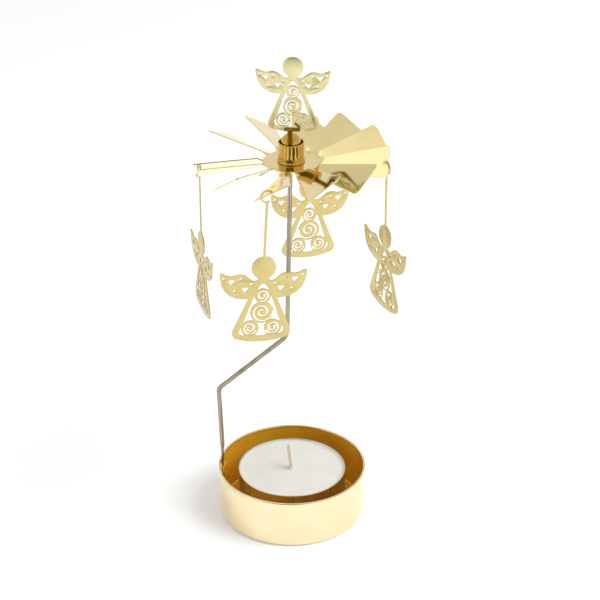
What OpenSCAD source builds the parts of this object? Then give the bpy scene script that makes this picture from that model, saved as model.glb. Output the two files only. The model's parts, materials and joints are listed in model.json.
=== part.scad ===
/* [Candle cup] */
// Outer diameter over the rolled rim
rim_d = 52.5; // [46:0.5:62]
// Thickness of the rolled rim
rim_bead_d = 0.9; // [0.8:0.05:1.2]
// Height of the cup
cup_h = 18; // [16.5:0.5:24]
// Thickness of the cup's sheet
cup_t = 0.4; // [0.3:0.05:0.5]
// Outside radius where the wall turns into the base
cup_corner_r = 1.5; // [1:0.1:2.5]
// Height of the strap that holds the mast's foot
strap_h = 3; // [2:0.25:5]
// Distance from the rim down to the strap's top edge
strap_drop = 1.8; // [1.4:0.1:5]

/* [Tealight] */
// Outer diameter of the candle's metal shell
tealight_d = 38; // [34:0.5:40]
// Height of the shell
tealight_h = 16.1; // [13:0.1:18]
// Thickness of the shell
shell_t = 0.25; // [0.2:0.05:0.4]
// Distance from the shell's rim down to the wax
wax_drop = 0.7; // [0.4:0.1:4]
// Diameter of the wick
wick_d = 1.6; // [1:0.1:2]
// Length of wick that stands out of the wax
wick_out = 10; // [4:0.5:12]
// Angle at which the free wick leans
wick_lean = 6; // [0:1:20]
// Diameter of the wick's metal foot
foot_d = 12; // [8:0.5:16]

/* [Mast] */
// Diameter of the mast's wire
rod_d = 1.6; // [1.2:0.1:2]
// Thickness of the flattened foot
blade_t = 0.7; // [0.5:0.05:0.9]
// Width of the flattened foot
blade_w = 2.4; // [2:0.1:3]
// Height at which the flattened foot ends
flat_top_z = 24; // [20:0.5:32]
// Height of the lower bend's corner
elbow_z = 47.4; // [38:0.2:55]
// How much further out the lower bend is than the foot
elbow_out = 0.85; // [0:0.05:1.5]
// Height of the upper bend's corner
crook_z = 69.7; // [60:0.2:76]
// Distance of the upper bend's corner from the centre line
crook_out = 1.5; // [0:0.1:3]
// Radius of the lower bend
elbow_r = 3; // [2:0.25:5]
// Radius of the upper bend
crook_r = 6; // [3:0.25:8]

/* [Fan] */
// Height of the fan's flat disc
fan_z = 135.2; // [125:0.2:150]
// Diameter over the blades before they are twisted
fan_d = 65; // [54:0.5:78]
// Diameter of the flat disc in the middle
disc_d = 18.6; // [16:0.2:24]
// Number of blades
blade_count = 12; // [8:4:16]
// Angle of the first hook blade from the X axis
fan_turn = -5; // [-45:1:45]
// Twist of each blade about its own centre line
blade_twist = 31.5; // [28:0.5:36]
// Angle at which the blades rise outwards
blade_rise = 5.5; // [0:0.5:6]
// How much of its uneven hand bending the fan keeps, where 0 makes all blades alike
hand_bend = 1; // [0:0.05:1]
// Width of a blade at its neck
blade_root_w = 4.1; // [3:0.1:4.6]
// Width of a blade at its outer end
blade_tip_w = 13.8; // [10:0.1:15]
// Radius of a blade's outer corners
blade_corner_r = 2.2; // [1:0.1:3]
// Thickness of the fan's and the figures' sheet
sheet_t = 0.4; // [0.3:0.05:0.5]
// Diameter of the hole that a hook ring hangs in
hook_hole_d = 1.5; // [1.3:0.1:2]
// Metal left between that hole and the blade's outer edge
hook_web = 0.4; // [0.3:0.05:0.6]

/* [Hub] */
// Outer diameter of the domed thimble
thimble_d = 6.8; // [6:0.1:8]
// Thickness of the thimble and the sleeve
hub_t = 0.3; // [0.25:0.05:0.4]
// Gap between thimble and sleeve, which holds the stand's stem
hub_gap = 0.5; // [0.45:0.05:0.7]
// Height of the sleeve
sleeve_h = 6.9; // [5:0.1:9]
// Thickness of the sleeve's rolled lower rim
sleeve_bead_d = 0.7; // [0.5:0.05:0.9]
// Height of the dome above the sleeve
dome_up = 2.9; // [2:0.1:3.2]
// Diameter of the thimble's flange under the disc
flange_d = 10.4; // [9:0.2:13]
// Gap between the mast's point and the dome
point_gap = 0.05; // [0.02:0.01:0.1]

/* [Figures] */
// Wing span of a hanging figure
figure_w = 28.6; // [24:0.2:31]
// Distance from the hook ring's centre down to the head
strip_drop = 20.8; // [17:0.2:26]
// Width of the strip between ring and head
strip_w = 0.8; // [0.6:0.05:1.2]
// Outer diameter of the hook ring
ring_d = 4.5; // [4.3:0.1:5.5]
// Width of the hook ring's metal
ring_w = 0.6; // [0.5:0.05:0.7]
// Turn of the right figure away from the fan's rim
right_yaw = 37; // [28:1:40]
// Turn of the back figure away from the fan's rim
back_yaw = 28; // [28:1:40]
// Turn of the left figure away from the fan's rim
left_yaw = 28; // [28:1:40]
// Turn of the front figure away from the fan's rim
front_yaw = 28; // [28:1:40]
// Lean of the back figure in its hook, as it was photographed
back_lean = -2; // [-4:0.5:4]
// Lean of the front figure in its hook
front_lean = 3; // [-4:0.5:4]
// Twist of the front figure's strip against its ring
front_twist = -4; // [-12:1:12]
// Extra length of the left figure's strip
left_extra = 1.6; // [0:0.1:3]
// Size of the top figure as a share of a hanging one
top_share = 0.84; // [0.7:0.01:0.95]
// Distance of the top figure from the hub's centre line
top_shift = 1; // [0:0.1:1.2]
// Height of the top figure's hem
top_hem_z = 147; // [146.5:0.1:158]
// Width of the stand's stem
stem_w = 1.6; // [1:0.1:2]
// Thickness of the stand's sheet
stand_t = 0.35; // [0.25:0.05:0.4]

/* [Hidden] */
$fn = 64;
// Sliding clearance, overlap of joined shapes, and the step that keeps joined surfaces apart
slip = 0.08;
lap = 0.3;
step = 0.02;

// Cup
rim_r = rim_d / 2;
bead_mid_r = rim_r - rim_bead_d / 2;
wall_out_r = rim_r - (rim_bead_d - cup_t) / 2;
wall_in_r = wall_out_r - cup_t;

// Mast foot and the strap round it
foot_out_r = rim_r - rim_bead_d - 0.1;
foot_mid_r = foot_out_r - blade_t / 2;
strap_out_r = foot_out_r - blade_t - slip;
strap_in_r = strap_out_r - cup_t;
strap_half = blade_w / 2 + slip + 0.1;
strap_top_z = cup_h - strap_drop;
foot_z = cup_t + cup_corner_r;

// Candle, standing on the cup's floor
candle_z = cup_t;
candle_r = tealight_d / 2;
shell_in_r = candle_r - shell_t;
wax_z = candle_z + shell_t;
wax_top_z = candle_z + tealight_h - wax_drop;
wick_foot_h = 3;
wick_foot_t = 0.25;

// Hub
thimble_r = thimble_d / 2;
sleeve_in_r = thimble_r + hub_gap;
lip_d = 0.44;
disc_top_z = fan_z + sheet_t / 2;
disc_low_z = fan_z - sheet_t / 2;
dome_top_z = disc_top_z + sleeve_h + dome_up;
dome_mid_z = dome_top_z - thimble_r;
point_z = dome_top_z - hub_t - point_gap;
point_l = 2.4;
point_d = 0.3;

// Blades and hook holes
neck_r = disc_d / 2 + 0.3;
neck_l = 1.5;
blade_end = fan_d / 2 - neck_r;
blade_lean = atan((blade_tip_w - blade_root_w) / 2 / blade_end);
web_mid = hook_hole_d / 2 + hook_web;
hole_s = blade_end - web_mid;
ring_mid_r = (ring_d - ring_w) / 2;
ring_gap = [-62, -18];
// Hand bends every 30 degrees round the fan from the right hook blade: added twist, added rise
BENDS = [[0, 0.6], [-0.5, 2.5], [-1.5, 2], [0, 0], [0, -2.5], [-6, -2],
         [0, -17.5], [3, -4.5], [5, 0.5], [-1, 1.5], [0.5, 3], [-2, 1.5]];

// Figure outline, drawn for a 28.6 mm span with its hem at zero
FIGURE_W = 28.6;
FIGURE_H = 30.5;
HEAD_R = 4;
SLOT = 0.55;
top_k = top_share * figure_w / FIGURE_W;
hang_k = figure_w / FIGURE_W;
stand_y = -(thimble_r + 0.02 + stand_t / 2);
top_y = stand_y + stand_t / 2 + sheet_t / 2;
hook_step = 90;

function arc(c, r, a0, a1, n) =
    [for (i = [0:n]) let (a = a0 + (a1 - a0) * i / n) [c[0] + r * cos(a), c[1] + r * sin(a)]];
function flip(points) = [for (i = [len(points) - 1:-1:0]) [-points[i][0], points[i][1]]];
// Whole outline from its right half, whose first and last points may lie on the centre line
function whole(half) = concat(half, [for (p = flip(half)) if (abs(p[0]) > 0.001) p]);
function unit(v) = v / norm(v);

// Twist and rise of the blade at angle a round the fan
function bend_at(a) =
    [blade_twist, blade_rise] + hand_bend * BENDS[round(a / 360 * len(BENDS)) % len(BENDS)];

// Place of a hook ring's centre, seen from the centre of its hole. The blade crosses
// the ring's plane as a bar that slopes down and outwards at the angle slope and is
// bar_l long from the hole's centre to the blade's outer edge.
function ring_shift(yaw, bend) =
    let (twist = bend[0], rise = bend[1],
         slope = atan(cos(yaw) * tan(twist) / cos(rise) - sin(yaw) * tan(rise)),
         out = (sin(yaw) - cos(yaw) * tan(twist) * sin(rise)) / cos(rise),
         bar_l = web_mid / out / cos(slope),
         half = min(ring_mid_r - 0.02, (bar_l + ring_w) / 2 + 0.1),
         sink = sqrt(pow(ring_mid_r, 2) - pow(half, 2)))
    [sink * sin(slope) - half * cos(slope), 0, -half * sin(slope) - sink * cos(slope)];

// Draws a plan in X and Y as an upright plate in X and Z
module upright(t) {
    rotate([90, 0, 0]) linear_extrude(height = t, center = true) children();
}

// Straight wire between two points of the XZ plane
module bar(a, b, d) {
    v = b - a;
    translate([a[0], 0, a[1]]) rotate([0, atan2(v[0], v[1]), 0]) cylinder(h = norm(v), d = d);
}

// Bent wire in the XZ plane, round centre c from angle a0 over the angle turn
module bend(c, r, a0, turn, d) {
    translate([c[0], 0, c[1]]) rotate([90, 0, 0]) rotate([0, 0, turn < 0 ? a0 + turn : a0])
        rotate_extrude(angle = abs(turn)) translate([r, 0]) circle(d = d);
}

// Cup section: floor, round corner, wall and rolled rim
module cup_section() {
    mid = [wall_out_r - cup_corner_r, cup_corner_r];
    polygon(concat(
        [[0, 0]],
        arc(mid, cup_corner_r, -90, 0, 8),
        [[wall_out_r, cup_h - rim_bead_d / 2], [wall_in_r, cup_h - rim_bead_d / 2]],
        arc(mid, cup_corner_r - cup_t, 0, -90, 8),
        [[0, cup_t]]));
    translate([bead_mid_r, cup_h - rim_bead_d / 2]) circle(d = rim_bead_d, $fn = 32);
}

module strap_plan() {
    ramp = wall_in_r - strap_out_r;
    root = strap_half + ramp;
    polygon([
        [-wall_out_r + 0.05, root + lap], [-wall_in_r, root], [-strap_out_r, strap_half],
        [-strap_out_r, -strap_half], [-wall_in_r, -root], [-wall_out_r + 0.05, -root - lap],
        [-wall_in_r + 0.1, -root - lap], [-strap_in_r, -strap_half - 0.15],
        [-strap_in_r, strap_half + 0.15], [-wall_in_r + 0.1, root + lap]]);
}

module candle_cup() {
    window = strap_half + wall_in_r - strap_out_r;
    color("gold") {
        difference() {
            rotate_extrude($fn = 128) cup_section();
            translate([-rim_r - 1, -window, strap_top_z - strap_h])
                cube([rim_r - strap_in_r + 1, 2 * window, strap_h]);
        }
        translate([0, 0, strap_top_z - strap_h + slip])
            linear_extrude(height = strap_h - 2 * slip) strap_plan();
    }
}

module mast_rod() {
    foot = [-foot_mid_r, flat_top_z];
    elbow = [-foot_mid_r - elbow_out, elbow_z];
    crook = [-crook_out, crook_z];
    flat_end_z = flat_top_z - 2;
    point = [0, point_z];
    u1 = unit(elbow - foot);
    u2 = unit(crook - elbow);
    u3 = unit(point - crook);
    turn1 = acos(u1 * u2);
    turn2 = acos(u2 * u3);
    t1 = elbow_r * tan(turn1 / 2);
    t2 = crook_r * tan(turn2 / 2);
    mid1 = elbow - t1 * u1 + elbow_r * [u1[1], -u1[0]];
    mid2 = crook - t2 * u2 + crook_r * [-u2[1], u2[0]];
    color("darkkhaki") {
        translate([-foot_mid_r, 0, (foot_z + flat_end_z) / 2])
            cube([blade_t, blade_w, flat_end_z - foot_z], center = true);
        hull() {
            translate([-foot_mid_r, 0, flat_end_z - step])
                cube([blade_t - step, blade_w - step, step], center = true);
            translate([-foot_mid_r, 0, flat_top_z]) cylinder(h = lap, d = rod_d - 2 * step, $fn = 32);
        }
        bar(foot, elbow - (t1 - lap) * u1, rod_d - 2 * step);
        bend(mid1, elbow_r, atan2(u1[0], -u1[1]), -turn1, rod_d);
        bar(elbow + (t1 - lap) * u2, crook - (t2 - lap) * u2, rod_d - 2 * step);
        bend(mid2, crook_r, atan2(-u2[0], u2[1]), turn2, rod_d);
        bar(crook + (t2 - lap) * u3, point - point_l * u3, rod_d - 2 * step);
        translate([point[0] - (point_l + lap) * u3[0], 0, point[1] - (point_l + lap) * u3[1]])
            rotate([0, atan2(u3[0], u3[1]), 0])
                cylinder(h = point_l + lap, d1 = rod_d - 3 * step, d2 = point_d);
    }
}

module tealight_shell() {
    color("gainsboro") rotate_extrude($fn = 128) {
        translate([0, candle_z]) square([candle_r - 0.5, shell_t]);
        polygon(concat(
            arc([candle_r - 0.8, candle_z + 0.8], 0.8, -90, 0, 5),
            [[candle_r, candle_z + tealight_h - 0.25], [shell_in_r, candle_z + tealight_h - 0.25]],
            arc([candle_r - 0.8, candle_z + 0.8], 0.8 - shell_t, 0, -90, 5)));
        translate([candle_r - 0.2, candle_z + tealight_h - 0.25]) circle(d = 0.5, $fn = 24);
    }
}

module tealight_wax() {
    color("whitesmoke") difference() {
        rotate_extrude($fn = 96) polygon(concat(
            [[0, wax_z + 0.02], [shell_in_r - 1, wax_z + 0.02], [shell_in_r - 0.1, wax_z + 1]],
            [[shell_in_r - 0.1, wax_top_z - 0.5], [shell_in_r - 0.5, wax_top_z], [0, wax_top_z]]));
        translate([0, 0, wax_z - 1]) cylinder(h = tealight_h + 2, d = wick_d + 0.1);
        translate([0, 0, wax_z - 1]) cylinder(h = 1 + wick_foot_t + 0.05, d = foot_d + 0.2);
        translate([0, 0, wax_z - 1]) cylinder(h = 1.05 + wick_foot_h, d = wick_d + 0.9);
    }
}

module wick() {
    color("ivory") {
        translate([0, 0, wax_z + wick_foot_t])
            cylinder(h = wax_top_z - wax_z - wick_foot_t + lap, d = wick_d - 0.1);
        translate([0, 0, wax_top_z]) rotate([0, -wick_lean, 0]) cylinder(h = wick_out, d = wick_d);
    }
}

module wick_foot() {
    color("silver") difference() {
        translate([0, 0, wax_z]) {
            cylinder(h = wick_foot_t, d = foot_d);
            cylinder(h = wick_foot_h, d = wick_d + 0.7);
        }
        translate([0, 0, wax_z + wick_foot_t]) cylinder(h = wick_foot_h, d = wick_d + 0.1);
    }
}

// Flat outline of one blade, from its neck outwards
function blade_outline() =
    let (mid = [blade_end - blade_corner_r, blade_tip_w / 2 - blade_corner_r],
         side = concat([[neck_l, blade_root_w / 2 + neck_l * tan(blade_lean)]],
                       arc(mid, blade_corner_r, 90 + blade_lean, 8, 6)))
    concat(side, [for (i = [len(side) - 1:-1:0]) [side[i][0], -side[i][1]]]);

// Neck that carries the twist from the flat disc into the blade
module blade_neck(bend) {
    steps = 6;
    start = -1.2;
    t = sheet_t / 2 - 0.02;
    function ease(u) = u * u * (3 - 2 * u);
    stations = [for (i = [0:steps]) let (x = start + (neck_l + 0.5 - start) * i / steps)
        [x, ease(min(1, max(0, (x - start) / (neck_l - start))))]];
    corners = [for (s = stations) let (x = s[0], a = bend[0] * s[1],
                                       w = blade_root_w / 2 + max(0, x) * tan(blade_lean) - 0.02,
                                       z = max(0, x) * sin(bend[1]))
        each [for (c = [[-w, -t], [w, -t], [w, t], [-w, t]])
            [x, c[0] * cos(a) - c[1] * sin(a), z + c[0] * sin(a) + c[1] * cos(a)]]];
    faces = concat(
        [[0, 1, 2, 3], [for (k = [3:-1:0]) 4 * steps + k]],
        [for (i = [0:steps - 1], k = [0:3]) let (n = (k + 1) % 4)
            each [[4 * i + k, 4 * i + 4 + k, 4 * i + n], [4 * i + n, 4 * i + 4 + k, 4 * i + 4 + n]]]);
    polyhedron(points = corners, faces = faces);
}

module blade(bend) {
    translate([neck_r, 0, 0]) {
        blade_neck(bend);
        rotate([0, -bend[1], 0]) rotate([bend[0], 0, 0])
            linear_extrude(height = sheet_t, center = true) polygon(blade_outline());
    }
}

module fan_plate() {
    color("khaki") translate([0, 0, fan_z]) difference() {
        union() {
            cylinder(h = sheet_t, d = disc_d, center = true, $fn = 96);
            for (i = [0:blade_count - 1]) let (a = i * 360 / blade_count)
                rotate([0, 0, fan_turn + a]) blade(bend_at(a));
        }
        cylinder(h = 2, d = thimble_d + 0.06, center = true);
        for (a = [0:hook_step:359]) let (bend = bend_at(a))
            rotate([0, 0, fan_turn + a]) translate([neck_r, 0, 0])
            rotate([0, -bend[1], 0]) translate([hole_s, 0, 0]) rotate([bend[0], 0, 0])
                cylinder(h = 4, d = hook_hole_d, center = true, $fn = 32);
    }
}

module hub_thimble() {
    color("goldenrod") rotate_extrude() {
        intersection() {
            translate([0, dome_mid_z]) difference() {
                circle(r = thimble_r);
                circle(r = thimble_r - hub_t);
            }
            translate([0, dome_mid_z]) square([thimble_r + 1, thimble_r + 1]);
        }
        translate([thimble_r - hub_t, disc_low_z - hub_t]) square([hub_t, dome_mid_z - disc_low_z + hub_t]);
        translate([thimble_r - hub_t, disc_low_z - hub_t])
            square([flange_d / 2 - thimble_r + hub_t, hub_t]);
    }
}

module hub_sleeve() {
    color("gold") rotate_extrude() {
        translate([sleeve_in_r, disc_top_z]) square([hub_t, sleeve_h - lip_d / 2]);
        translate([sleeve_in_r + sleeve_bead_d / 2 + step, disc_top_z + sleeve_bead_d / 2])
            circle(d = sleeve_bead_d, $fn = 24);
        translate([sleeve_in_r + lip_d / 2 + step, disc_top_z + sleeve_h - lip_d / 2])
            circle(d = lip_d, $fn = 24);
    }
}

// Spiral slot round the origin from radius r0 at angle a0 to radius r1, which winds in
// steadily where ease is 1, and faster at first above that
module spiral_slot(r0, r1, a0, turns, ease) {
    n = ceil(abs(turns) * 20);
    half = SLOT / 2;
    path = [for (i = [0:n]) let (u = i / n) [r1 + (r0 - r1) * pow(1 - u, ease), a0 + 360 * turns * u]];
    polygon(concat(
        [for (p = path) (p[0] + half) * [cos(p[1]), sin(p[1])]],
        [for (i = [n:-1:0]) (path[i][0] - half) * [cos(path[i][1]), sin(path[i][1])]]));
}

module heart(s) {
    for (m = [-1, 1]) translate([m * 0.27 * s, 0.2 * s]) circle(r = 0.31 * s, $fn = 16);
    polygon([[-0.56 * s, 0.1 * s], [0, -0.6 * s], [0.56 * s, 0.1 * s], [0, 0.3 * s]]);
}

// Right halves of the outline: head and wing down to the waist, skirt, and the window in the skirt
WING = concat(
    arc([0, FIGURE_H - HEAD_R], HEAD_R, 90, -65, 24),
    [[1.75, 22.4], [2.6, 21.9], [3.6, 22.2], [4.9, 23.3], [6.1, 24.2], [7.3, 24.6], [8.6, 24.5],
     [10.3, 24.1], [12, 24.5], [13.6, 25.3], [14.3, 25.1], [14.2, 23.4]],
    [[13.7, 21.1], [12.7, 19], [11, 17.3], [9, 16.2], [7, 15.75], [4.6, 15.6], [0, 15.7]]);
SKIRT = concat(
    [[1.9, 22.2], [4.7, 15.8]],
    arc([7.3, 3.5], 2.4, 22, -70, 7),
    [[5, 0.45], [2.5, 0.1], [0, 0]]);
WINDOW = [[0, 21], [0.6, 20.7], [1.4, 19.6], [2, 18.4], [2.15, 17.4], [2.4, 16.6], [3, 15.9],
          [4.3, 12.4], [5.6, 8.4], [6.6, 6], [7.3, 4.3], [7.2, 3], [6.2, 2.4], [4.8, 2.6], [3.4, 2.75],
          [2, 2.4], [0.9, 2.05], [0, 2]];

// Centres of the filigree's discs in the skirt: breast, middle, and the pair at the hem
BREAST = [0, 16.5];
MIDDLE = [0, 10.6];
HEM_CURL = [3.75, 4.95];

// Filigree in the skirt: four discs and the ties between them, each disc with its spiral slot
module lace() {
    difference() {
        union() {
            translate(BREAST) circle(r = 2.65, $fn = 48);
            translate(MIDDLE) circle(r = 3.85, $fn = 64);
            for (m = [-1, 1]) {
                translate([m * HEM_CURL[0], HEM_CURL[1]]) circle(r = 2.9, $fn = 48);
                translate([m * 1.9, 7.5]) circle(r = 0.8, $fn = 20);
                translate([m * 5.9, 5.9]) circle(r = 1.15, $fn = 24);
            }
        }
        translate(BREAST) spiral_slot(2.1, 0.58, -110, 1.5, 1);
        translate(MIDDLE) spiral_slot(3.75, 0.68, 5, -1.9, 1.35);
        for (m = [-1, 1]) translate([m * HEM_CURL[0], HEM_CURL[1]])
            spiral_slot(2.34, 0.58, 90 + m * 110, m * 1.65, 1);
    }
}

module figure_plan() {
    difference() {
        union() {
            polygon(whole(WING));
            polygon(whole(SKIRT));
        }
        difference() {
            polygon(whole(WINDOW));
            lace();
        }
        for (m = [-1, 1]) {
            translate([m * 10.4, 22]) heart(1.75);
            translate([m * 5.9, 19]) heart(1.75);
            for (p = [[13, 23.4], [7.5, 22.9], [3.9, 20.9], [9.4, 18.9]])
                translate([m * p[0], p[1]]) circle(r = 0.4, $fn = 16);
        }
    }
}

module ring_plan() {
    reach = ring_d;
    difference() {
        circle(d = ring_d, $fn = 64);
        circle(d = ring_d - 2 * ring_w, $fn = 64);
        polygon([[0, 0], [reach * cos(ring_gap[0]), reach * sin(ring_gap[0])],
                 [reach * cos(ring_gap[1]), reach * sin(ring_gap[1])]]);
    }
}

// Hanging figure with its strip and hook ring, ring centre at the origin. The strip leans
// in the ring's plane, is twisted out of it, and is longer by extra.
module hanging_sheet(lean, twist, extra) {
    drop = strip_drop + extra;
    upright(sheet_t) ring_plan();
    rotate([0, lean, 0]) rotate([0, 0, twist]) {
        upright(sheet_t) translate([-strip_w / 2, -drop - lap]) square([strip_w, drop + lap - ring_mid_r]);
        translate([0, 0, -drop - FIGURE_H * hang_k]) upright(sheet_t) scale(hang_k) figure_plan();
    }
}

// Hanging figure on the hook blade at angle a round the fan
module hanging_angel(a, yaw, lean = 0, twist = 0, extra = 0) {
    bend = bend_at(a);
    color("wheat") rotate([0, 0, fan_turn + a])
        translate([neck_r + hole_s * cos(bend[1]), 0, fan_z + hole_s * sin(bend[1])])
        rotate([0, 0, 90 + yaw]) translate(ring_shift(yaw, bend)) hanging_sheet(lean, twist, extra);
}

module hanging_angel_right() { hanging_angel(0, right_yaw); }
module hanging_angel_back() { hanging_angel(hook_step, back_yaw, lean = back_lean); }
module hanging_angel_left() { hanging_angel(2 * hook_step, left_yaw, extra = left_extra); }
module hanging_angel_front() {
    hanging_angel(3 * hook_step, front_yaw, lean = front_lean, twist = front_twist);
}

module top_angel() {
    color("wheat") translate([top_shift, top_y, top_hem_z]) upright(sheet_t) scale(top_k) figure_plan();
}

// Stand: stem wedged in the hub, foot band along the hem and a tab hooked up over it
module top_stand() {
    stem_z = disc_top_z + 0.1;
    band_z = top_hem_z + 0.35;
    color("darkgoldenrod") translate([0, stand_y, 0]) upright(stand_t) {
        translate([-stem_w / 2, stem_z]) square([stem_w, band_z + 0.5 - stem_z]);
        translate([0, band_z]) polygon([[-1.9, 0], [3.3, 0], [3.4, 2], [1.7, 3.1], [1.4, 2.4], [2.5, 1.6],
                                        [2.5, 1.1], [-1.9, 1.1]]);
    }
}

candle_cup();
mast_rod();
tealight_shell();
tealight_wax();
wick();
wick_foot();
fan_plate();
hub_thimble();
hub_sleeve();
top_stand();
top_angel();
hanging_angel_right();
hanging_angel_back();
hanging_angel_left();
hanging_angel_front();
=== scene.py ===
"""Looks of the candle carousel: tealight in a brass cup, bent wire mast, bladed fan and hanging figures."""

import json
import logging
import math
from dataclasses import dataclass
from enum import Enum
from typing import Optional, Sequence

import bmesh
import bpy
from bmesh.types import BMEdge, BMesh
from bpy.types import ID, Material, Mesh, Node, NodeSocket, NodeTree, Object
from mathutils import Matrix, Vector

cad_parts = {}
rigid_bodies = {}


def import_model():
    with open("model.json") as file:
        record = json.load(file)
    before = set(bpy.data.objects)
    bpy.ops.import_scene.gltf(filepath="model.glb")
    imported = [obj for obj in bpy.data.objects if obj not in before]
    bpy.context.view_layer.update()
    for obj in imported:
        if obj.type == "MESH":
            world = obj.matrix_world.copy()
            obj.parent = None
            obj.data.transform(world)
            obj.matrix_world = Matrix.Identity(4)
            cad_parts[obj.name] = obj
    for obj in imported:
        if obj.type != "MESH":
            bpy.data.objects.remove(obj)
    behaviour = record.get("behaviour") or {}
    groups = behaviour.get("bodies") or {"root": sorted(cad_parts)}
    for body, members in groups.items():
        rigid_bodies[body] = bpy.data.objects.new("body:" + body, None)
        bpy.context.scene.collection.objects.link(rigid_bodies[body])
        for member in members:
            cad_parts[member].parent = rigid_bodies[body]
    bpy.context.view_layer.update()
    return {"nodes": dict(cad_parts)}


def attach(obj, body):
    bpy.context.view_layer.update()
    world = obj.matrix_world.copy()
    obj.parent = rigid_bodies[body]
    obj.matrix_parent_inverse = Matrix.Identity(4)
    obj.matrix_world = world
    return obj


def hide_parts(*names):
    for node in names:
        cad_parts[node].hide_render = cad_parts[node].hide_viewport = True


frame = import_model()

log = logging.getLogger("carousel")
MM = 0.001
NOISE_LOW, NOISE_HIGH = 0.3, 0.7
FIGURE_NODES = ("hanging_angel_right", "hanging_angel_back", "hanging_angel_left", "hanging_angel_front")


class Body(Enum):
    """Rigid bodies that pieces ride on."""

    BASE = "base"
    MAST = "mast"
    CANDLE = "candle"
    ROTOR = "rotor"


class Slot(Enum):
    """Material slots of the record, named with each new piece."""

    CUP = "cup_brass"
    SHEET = "sheet_brass"
    HUB = "hub_brass"
    STAND = "stand_brass"
    MAST = "mast_steel"
    SHELL = "candle_aluminium"
    WAX = "wax"
    WICK = "wick_cotton"


def linear(code: str) -> tuple[float, float, float, float]:
    """Turns an sRGB hex colour into the linear one that shaders take.

    Args:
        code: Six hex digits.

    Returns:
        Red, green, blue and full opacity.
    """
    parts = [int(code[i : i + 2], 16) / 255 for i in (0, 2, 4)]
    red, green, blue = [c / 12.92 if c <= 0.04045 else ((c + 0.055) / 1.055) ** 2.4 for c in parts]
    return red, green, blue, 1.0


def add(
    tree: NodeTree,
    kind: str,
    values: Optional[dict] = None,
    links: Optional[dict] = None,
    **settings: object,
) -> Node:
    """Adds one node to a tree.

    Args:
        tree: Shader or geometry tree.
        kind: The node's type name.
        values: Input name or number to its value.
        links: Input name or number to the output that feeds it.
        **settings: The node's own properties.

    Returns:
        The new node.
    """
    node = tree.nodes.new(kind)
    for name, value in settings.items():
        setattr(node, name, value)
    for key, value in (values or {}).items():
        node.inputs[key].default_value = value
    for key, output in (links or {}).items():
        tree.links.new(output, node.inputs[key])
    return node


def smoothstep(u: float) -> float:
    """Eases from 0 to 1, flat at both ends."""
    u = min(1.0, max(0.0, u))
    return u * u * (3 - 2 * u)


def arc(
    centre: tuple[float, float], radius: float, start: float, end: float, steps: int
) -> list[tuple[float, float]]:
    """Points along an arc.

    Args:
        centre: Centre in the section's plane, in mm.
        radius: Radius in mm.
        start: First angle in degrees.
        end: Last angle in degrees.
        steps: Number of chords.

    Returns:
        The points, both ends included.
    """
    angles = [math.radians(start + (end - start) * i / steps) for i in range(steps + 1)]
    return [(centre[0] + radius * math.cos(a), centre[1] + radius * math.sin(a)) for a in angles]


def put_in_scene(name: str, data: ID) -> Object:
    """Makes an object of some data and puts it in the scene.

    Args:
        name: The object's name.
        data: Its mesh, camera or light.

    Returns:
        The new object.
    """
    thing = bpy.data.objects.new(name, data)
    bpy.context.scene.collection.objects.link(thing)
    return thing


# Materials


def new_material(name: str, values: dict[str, object]) -> tuple[Material, NodeTree, Node]:
    """Makes a material.

    Args:
        name: The material's name.
        values: Shader input name to its value.

    Returns:
        The material, its tree and its shader node.
    """
    material = bpy.data.materials.new(name)
    material.use_nodes = True
    shader = material.node_tree.nodes["Principled BSDF"]
    for label, value in values.items():
        shader.inputs[label].default_value = value
    return material, material.node_tree, shader


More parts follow.
